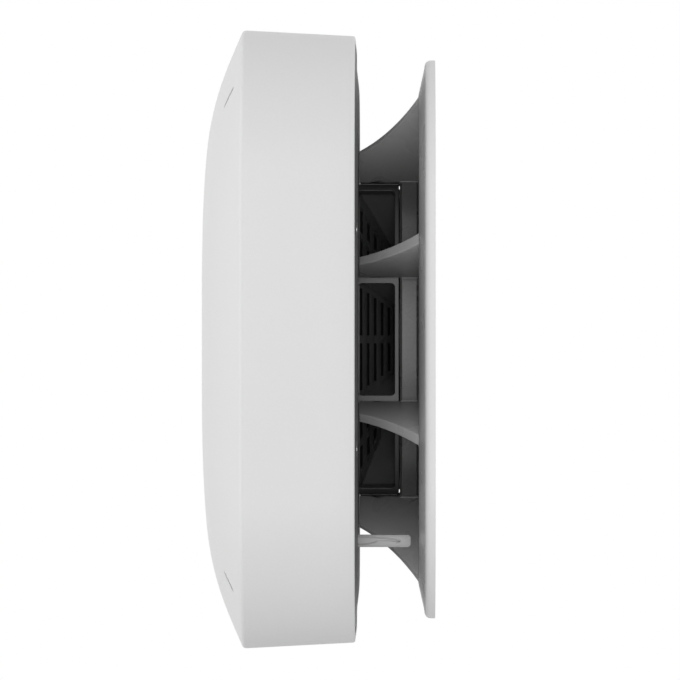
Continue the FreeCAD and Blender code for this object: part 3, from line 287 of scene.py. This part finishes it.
# How close corners are merged, in metres, and the angles at which faces join and a sharp line begins.
tolerance = {"merge": 0.000002, "seat": 0.00001, "flat": 0.004, "sharp": 0.55}


# Smooth faces, with a sharp line wherever two faces meet at more than an angle.
def smoothByAngle(bm, angle):
    for face in bm.faces:
        face.smooth = True
    for edge in bm.edges:
        edge.smooth = len(edge.link_faces) == 2 and edge.calc_face_angle(0) < angle


# A new piece from a bmesh: it takes a slot's finish, stands for a node and rides on its body.
def makePiece(name, bm, slotName, body, *nodes):
    mesh = bpy.data.meshes.new(name)
    bm.to_mesh(mesh)
    bm.free()
    piece = bpy.data.objects.new(name, mesh)
    bpy.context.scene.collection.objects.link(piece)
    mesh.materials.append(finishes[slotName])
    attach(piece, body)
    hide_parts(*nodes)
    return piece


# Round every sharp edge, with the light running smoothly over it.
def edgeBevel(piece, width, segments):
    bevel = piece.modifiers.new("edges", "BEVEL")
    bevel.width = width
    bevel.segments = segments
    bevel.limit_method = "ANGLE"
    bevel.angle_limit = tolerance["sharp"]
    bevel.use_clamp_overlap = False
    bevel.harden_normals = True


# A node's mesh with its split corners merged.
def mergedNode(node):
    bm = bmesh.new()
    bm.from_mesh(frame["nodes"][node].data)
    bmesh.ops.remove_doubles(bm, verts=bm.verts[:], dist=tolerance["merge"])
    return bm


def joinFlatFaces(bm):
    bmesh.ops.dissolve_limit(bm, angle_limit=tolerance["flat"], verts=bm.verts[:], edges=bm.edges[:])


# A copy of a node's mesh with its triangles joined into real faces, so that it can be smoothed and bevelled.
# Its finish is the slot's unless another is named, and its back face can settle onto a neighbour further back.
def refined(node, slotName, body, width, segments=2, finish=None, settle=None):
    bm = mergedNode(node)
    joinFlatFaces(bm)
    if settle:
        seated = [vert for vert in bm.verts if abs(vert.co.y + settle["from"]) < tolerance["seat"]]
        bmesh.ops.translate(bm, vec=(0, settle["from"] - settle["to"], 0), verts=seated)
    smoothByAngle(bm, tolerance["sharp"])
    piece = makePiece(node + "_detail", bm, slotName, body, node)
    if finish:
        piece.data.materials[0] = finishes[finish]
    if width:
        edgeBevel(piece, width, segments)
    return piece


# ---- the head's shell ----

headShell = {
    "backHalf": 0.0986, "frontHalf": 0.1005, "corner": 0.049, "back": 0.0259, "edge": 0.0623,
    "dome": ((0.0859, 0.06865), (0.0742, 0.07235), (0.0616, 0.07457), (0.0421, 0.0760), (0.0177, 0.07669)),
    "crown": ((0.009, 0.07675), (0.003, 0.07676)), "wall": 0.0022,
    "edgeRound": 0.0010, "backRound": 0.0007, "cornerSteps": 20, "sideSteps": 8, "lineSteps": 4,
}
lightSlot = {"near": 0.1055, "far": 0.1145, "half": 0.00055, "round": 0.0005, "root": 0.060, "tip": 0.080}
screwPost = {"spot": 0.092, "radius": 0.0035, "bore": 0.0013, "foot": 0.0275, "top": 0.0664, "depth": 0.012}


# A curve through points that are given one by one, with a few steps from each to the next.
def throughPoints(points, steps):
    ends = [points[0]] + list(points) + [points[-1]]
    line = []
    for before, start, finish, after in zip(ends, ends[1:], ends[2:], ends[3:]):
        for step in range(steps):
            t = step / steps
            line.append(tuple(0.5 * (2 * b + (c - a) * t + (2 * a - 5 * b + 4 * c - d) * t * t
                                     + (3 * b - a - 3 * c + d) * t ** 3)
                              for a, b, c, d in zip(before, start, finish, after)))
    return line + [points[-1]]


# Carry an outline to another size and depth, leaving a wall of faces behind it.
def carryLoop(bm, edges, half, depth, newHalf, newDepth):
    grown = bmesh.ops.extrude_edge_only(bm, edges=edges)["geom"]
    verts = [item for item in grown if isinstance(item, bmesh.types.BMVert)]
    bmesh.ops.scale(bm, vec=(newHalf / half, 1, newHalf / half), verts=verts)
    bmesh.ops.translate(bm, vec=(0, depth - newDepth, 0), verts=verts)
    return [item for item in grown if isinstance(item, bmesh.types.BMEdge)]


def loopAt(bm, depth):
    return [edge for edge in bm.edges if all(abs(vert.co.y + depth) < 1e-6 for vert in edge.verts)]


# Four slots for the light pipes, one on each diagonal of the dome, as cutters.
def lightSlotCutters():
    bm = bmesh.new()
    length = lightSlot["far"] - lightSlot["near"]
    height = lightSlot["tip"] - lightSlot["root"]
    bmesh.ops.create_cube(bm, size=1)
    bmesh.ops.scale(bm, vec=(length, height, 2 * lightSlot["half"]), verts=bm.verts)
    upright = [edge for edge in bm.edges if abs(edge.verts[0].co.y - edge.verts[1].co.y) > height / 2]
    bmesh.ops.bevel(bm, geom=upright, offset=lightSlot["round"], affect="EDGES", segments=5, profile=0.5,
                    material=-1)
    middle = (lightSlot["near"] + length / 2, -lightSlot["root"] - height / 2, 0)
    bmesh.ops.translate(bm, vec=middle, verts=bm.verts)
    bmesh.ops.rotate(bm, matrix=Matrix.Rotation(octant, 3, "Y"), verts=bm.verts)
    bmesh.ops.spin(bm, geom=bm.verts[:] + bm.edges[:] + bm.faces[:], axis=(0, 1, 0), angle=3 * quarter,
                   steps=3, use_duplicate=True)
    return bm


# Eight posts for the rear cover's screws, each with a blind bore in its foot.
def addScrewPosts(bm):
    look = screwPost
    post = bmesh.new()
    bmesh.ops.create_cone(post, cap_ends=True, segments=24, radius1=look["radius"], radius2=look["radius"],
                          depth=look["top"] - look["foot"])
    bmesh.ops.rotate(post, matrix=Matrix.Rotation(quarter, 3, "X"), verts=post.verts)
    bmesh.ops.translate(post, vec=(look["spot"], -(look["foot"] + look["top"]) / 2, 0), verts=post.verts)
    foot = [face for face in post.faces if all(abs(vert.co.y + look["foot"]) < tolerance["merge"]
                                               for vert in face.verts)]
    bmesh.ops.inset_region(post, faces=foot, thickness=look["radius"] - look["bore"])
    bmesh.ops.inset_region(post, faces=foot, thickness=0.00002, depth=-look["depth"])
    bmesh.ops.rotate(post, matrix=Matrix.Rotation(octant / 2, 3, "Y"), verts=post.verts)
    bmesh.ops.spin(post, geom=post.verts[:] + post.edges[:] + post.faces[:], axis=(0, 1, 0), angle=7 * octant,
                   steps=7, use_duplicate=True)
    mesh = bpy.data.meshes.new("posts")
    post.to_mesh(mesh)
    post.free()
    bm.from_mesh(mesh)
    bpy.data.meshes.remove(mesh)


def makeHeadShell():
    look = headShell
    bm = bmesh.new()
    bmesh.ops.create_grid(bm, x_segments=1, y_segments=1, size=1.0)
    bmesh.ops.rotate(bm, matrix=Matrix.Rotation(quarter, 3, "X"), verts=bm.verts)
    bmesh.ops.bevel(bm, geom=bm.verts[:], offset=look["corner"] / look["frontHalf"], affect="VERTICES",
                    segments=look["cornerSteps"], profile=0.5, material=-1)
    bmesh.ops.delete(bm, geom=bm.faces[:], context="FACES_ONLY")
    sides = [edge for edge in bm.edges if edge.calc_length() > 0.5]
    bmesh.ops.subdivide_edges(bm, edges=sides, cuts=look["sideSteps"])
    half, depth = look["backHalf"], look["back"]
    bmesh.ops.scale(bm, vec=(half, 1, half), verts=bm.verts)
    bmesh.ops.translate(bm, vec=(0, -depth, 0), verts=bm.verts)
    edges = bm.edges[:]
    lines = [(look["backHalf"] + (look["frontHalf"] - look["backHalf"]) * share,
              look["back"] + (look["edge"] - look["back"]) * share) for share in (0.25, 0.5, 0.75)]
    dome = throughPoints([(look["frontHalf"], look["edge"])] + list(look["dome"]), look["lineSteps"])
    for newHalf, newDepth in lines + dome + list(look["crown"]):
        edges = carryLoop(bm, edges, half, depth, newHalf, newDepth)
        half, depth = newHalf, newDepth
    bmesh.ops.edgeloop_fill(bm, edges=edges)
    bmesh.ops.bevel(bm, geom=loopAt(bm, look["edge"]), offset=look["edgeRound"], affect="EDGES",
                    segments=4, profile=0.5, material=-1)
    bmesh.ops.recalc_face_normals(bm, faces=bm.faces[:])
    bmesh.ops.solidify(bm, geom=bm.faces[:], thickness=look["wall"])
    # of the back's two outlines, only the outer one is rounded
    outside = [edge for edge in loopAt(bm, look["back"])
               if max(abs(edge.verts[0].co.x), abs(edge.verts[0].co.z)) > look["backHalf"] - 0.0001
               or edge.verts[0].co.xz.length > (look["backHalf"] - look["corner"] * 0.3) * 1.2]
    bmesh.ops.bevel(bm, geom=outside, offset=look["backRound"], affect="EDGES", segments=3, profile=0.5,
                    material=-1)
    addScrewPosts(bm)
    smoothByAngle(bm, 0.6)
    piece = makePiece("front_shell_detail", bm, "white_shell", "head", "front_shell")
    slots = bpy.data.meshes.new("light_slots")
    cutters = lightSlotCutters()
    cutters.to_mesh(slots)
    cutters.free()
    cutAway(piece, slots, "EXACT")


# Cut a shape away for good, so that no cutter stays in the scene.
def cutAway(piece, mesh, solver):
    tool = bpy.data.objects.new("cutter", mesh)
    bpy.context.scene.collection.objects.link(tool)
    cut = piece.modifiers.new("cut", "BOOLEAN")
    cut.operation = "DIFFERENCE"
    cut.solver = solver
    cut.object = tool
    bpy.context.view_layer.update()
    shaped = bpy.data.meshes.new_from_object(piece.evaluated_get(bpy.context.evaluated_depsgraph_get()))
    piece.modifiers.clear()
    piece.data = shaped
    shaped.name = piece.name
    bpy.data.objects.remove(tool)


makeHeadShell()
print("head shell made")


# ---- rear cover, with a rim that slopes down to the shell ----

coverRim = {
    "corner": 0.0445, "width": 0.015, "drop": 0.0012, "gridFrom": 0.048, "gridStep": 0.004, "gridLines": 13,
}


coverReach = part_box("rear_cover")[1][0] - coverRim["corner"]


# How far a place on the cover sinks towards the dome: all the way at the rim, not at all further in.
def rimDrop(spot):
    beyond = Vector((max(0, abs(spot.x) - coverReach), max(0, abs(spot.z) - coverReach)))
    share = min(1, max(0, (coverRim["corner"] - beyond.length) / coverRim["width"]))
    return coverRim["drop"] * (1 - share * share * (3 - 2 * share))


# The cover gets a grid of extra corners, so that its flat face can follow the slope.
def makeRearCover():
    bm = mergedNode("rear_cover")
    for line in range(coverRim["gridLines"]):
        place = coverRim["gridFrom"] + line * coverRim["gridStep"]
        for spot, across in (((place, 0, 0), (1, 0, 0)), ((-place, 0, 0), (1, 0, 0)),
                             ((0, 0, place), (0, 0, 1)), ((0, 0, -place), (0, 0, 1))):
            everything = bm.verts[:] + bm.edges[:] + bm.faces[:]
            bmesh.ops.bisect_plane(bm, geom=everything, plane_co=spot, plane_no=across)
    for vert in bm.verts:
        vert.co.y -= rimDrop(vert.co)
    smoothByAngle(bm, tolerance["sharp"])
    makePiece("rear_cover_detail", bm, "rear_cover", "head", "rear_cover")


makeRearCover()


# ---- release lever, with two curved grooves on each side ----

# each line's points are given by depth from the wall and drop below the middle
leverGrooves = {
    "radius": 0.00026, "steps": 6, "sharp": 0.34,
    "long": ((0.0290, 0.0639), (0.0200, 0.0640), (0.0150, 0.0644),
             (0.0120, 0.0649), (0.0113, 0.0654), (0.0128, 0.0658)),
    "short": ((0.0290, 0.0663), (0.0230, 0.0662), (0.0200, 0.0657), (0.0188, 0.0652)),
}


# Round bars along the groove lines, on both sides of the lever, to cut with.
def grooveCutters(sides):
    bars = bpy.data.curves.new("lever_grooves", "CURVE")
    bars.dimensions = "3D"
    bars.bevel_depth = leverGrooves["radius"]
    bars.bevel_resolution = 3
    bars.use_fill_caps = True
    for side in sides:
        for points in (leverGrooves["long"], leverGrooves["short"]):
            line = throughPoints([(side, -depth, -drop) for depth, drop in points], leverGrooves["steps"])
            spline = bars.splines.new("POLY")
            spline.points.add(len(line) - 1)
            for point, spot in zip(spline.points, line):
                point.co = (*spot, 1)
    holder = bpy.data.objects.new("lever_grooves", bars)
    bpy.context.scene.collection.objects.link(holder)
    bpy.context.view_layer.update()
    mesh = bpy.data.meshes.new_from_object(holder.evaluated_get(bpy.context.evaluated_depsgraph_get()))
    bpy.data.objects.remove(holder)
    bm = bmesh.new()
    bm.from_mesh(mesh)
    bmesh.ops.remove_doubles(bm, verts=bm.verts[:], dist=0.000001)
    bmesh.ops.recalc_face_normals(bm, faces=bm.faces[:])
    bm.to_mesh(mesh)
    bm.free()
    return mesh


def makeReleaseLever():
    low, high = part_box("release_lever")
    piece = refined("release_lever", "lever_plastic", "lever", 0.0003, 3)
    cutAway(piece, grooveCutters((low[0], high[0])), "FAST")
    bm = bmesh.new()
    bm.from_mesh(piece.data)
    joinFlatFaces(bm)
    smoothByAngle(bm, leverGrooves["sharp"])
    bm.to_mesh(piece.data)
    bm.free()


makeReleaseLever()
print("rear cover and lever made")


# ---- pieces refined from their nodes ----

refined("light_pipes", "light_pipe", "head", 0.0001)
refined("neck_frame", "black_plastic", "head", 0.0002)
refined("vent_dome", "black_plastic", "head", 0, finish="vent_plastic",
        settle={"from": 0.0132, "to": 0.0130})
refined("dust_screen", "screen_mesh", "head", 0, settle={"from": 0.01495, "to": 0.01470})
refined("port_bay", "black_plastic", "head", 0, finish="chip",
        settle={"from": -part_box("port_bay")[1][1], "to": 0.0129})
refined("lan_jack", "black_plastic", "head", 0.00015)
refined("dc_jack", "black_plastic", "head", 0.00015)
refined("base_plate", "plate_plastic", "stand", 0)
refined("arm_spider", "arm_plastic", "stand", 0.00045, 3)
refined("lock_ring", "lock_plastic", "stand", 0.0003, 3)
refined("sync_button", "key_plastic", "sync_key", 0.00025, 3)
refined("reset_button", "key_plastic", "reset_key", 0.0001, 2)
for screws, body in (("spider_screws", "stand"), ("lock_ring_screws", "stand"), ("neck_screws", "head")):
    refined(screws, "screw_steel", body, 0.00015)
for vert in refined("rear_cover_screws", "screw_steel", "head", 0.00015).data.vertices:
    vert.co.y -= rimDrop(vert.co)
print("nodes refined")

# every other node keeps its own mesh and takes a finish
slotOf = {part["node"]: part["material_slot"] for part in frame["record"]["subparts"]}
for name, node in frame["nodes"].items():
    for place in range(len(node.data.materials)):
        node.data.materials[place] = finishes[slotOf[name]]


# ---- floor, light and camera ----

studio = {
    "floorHalf": 1.5, "floorHeight": -0.42, "floorColour": (0.74, 0.74, 0.74, 1), "floorWhite": 0.55,
    "skyStrength": 0.66, "aim": (0, -0.04, 0),
    "lamps": (
        {"name": "key", "place": (2.2, -0.1, 0.05), "size": 1.5, "power": 16.8},
        {"name": "front", "place": (-0.2, -2.2, 0.3), "size": 1.6, "power": 14.0},
        {"name": "back", "place": (-0.5, 2.0, 0.9), "size": 1.4, "power": 8.0},
    ),
}
camera = {
    "place": (2.619, -0.0124, -0.0002), "aim": (0.0, -0.0313, -0.0002), "lens": 418.0, "sensor": 36.0,
    "clip": (0.05, 20.0),
}


def aimed(item, place, aim):
    item.location = place
    item.rotation_euler = (Vector(aim) - Vector(place)).to_track_quat("-Z", "Y").to_euler()
    bpy.context.scene.collection.objects.link(item)
    return item


# What the camera, reflections and clear plastic see is plain white; the rest is soft light.
def seenDirectly(finish):
    path = finish.node("LightPath").socket.node.outputs
    camera, glossy, clear = (Wire(finish, path[name]) for name in
                             ("Is Camera Ray", "Is Glossy Ray", "Is Transmission Ray"))
    return finish.node("Math", {"operation": "MAXIMUM"},
                       {0: finish.node("Math", {"operation": "MAXIMUM"}, {0: camera, 1: glossy}), 1: clear})


def makeSky():
    world = bpy.data.worlds.new("studio_sky")
    bpy.context.scene.world = world
    sky = Finish(world)
    white = sky.node("Background", {}, {"Color": (1, 1, 1, 1), "Strength": 1.0})
    soft = sky.node("Background", {}, {"Color": (1, 1, 1, 1), "Strength": studio["skyStrength"]})
    shader = sky.node("MixShader", {}, {0: seenDirectly(sky), 1: soft, 2: white})
    sky.node("OutputWorld", {}, {"Surface": shader})


# A matt floor that shows its shadows, and looks half white so that it fades into the background.
def makeFloor():
    bm = bmesh.new()
    bmesh.ops.create_grid(bm, x_segments=2, y_segments=2, size=studio["floorHalf"])
    bmesh.ops.translate(bm, vec=(0, 0, studio["floorHeight"]), verts=bm.verts)
    mesh = bpy.data.meshes.new("floor")
    bm.to_mesh(mesh)
    bm.free()
    floor = bpy.data.objects.new("floor", mesh)
    bpy.context.scene.collection.objects.link(floor)
    finish = Finish(bpy.data.materials.new("floor_finish"))
    matt = finish.node("BsdfDiffuse", {}, {"Color": studio["floorColour"]})
    white = finish.node("Emission", {}, {"Color": (1, 1, 1, 1), "Strength": 1.0})
    share = seenDirectly(finish) * studio["floorWhite"]
    mesh.materials.append(finish.surface(finish.node("MixShader", {}, {0: share, 1: matt, 2: white})))


makeSky()
makeFloor()
for lamp in studio["lamps"]:
    data = bpy.data.lights.new(lamp["name"], "AREA")
    data.size = lamp["size"]
    data.energy = lamp["power"]
    aimed(bpy.data.objects.new(lamp["name"], data), lamp["place"], studio["aim"])

lens = bpy.data.cameras.new("camera")
lens.lens = camera["lens"]
lens.sensor_width = camera["sensor"]
lens.clip_start, lens.clip_end = camera["clip"]
bpy.context.scene.camera = aimed(bpy.data.objects.new("camera", lens), camera["place"], camera["aim"])
bpy.context.scene.view_settings.view_transform = "Standard"
print("studio set")
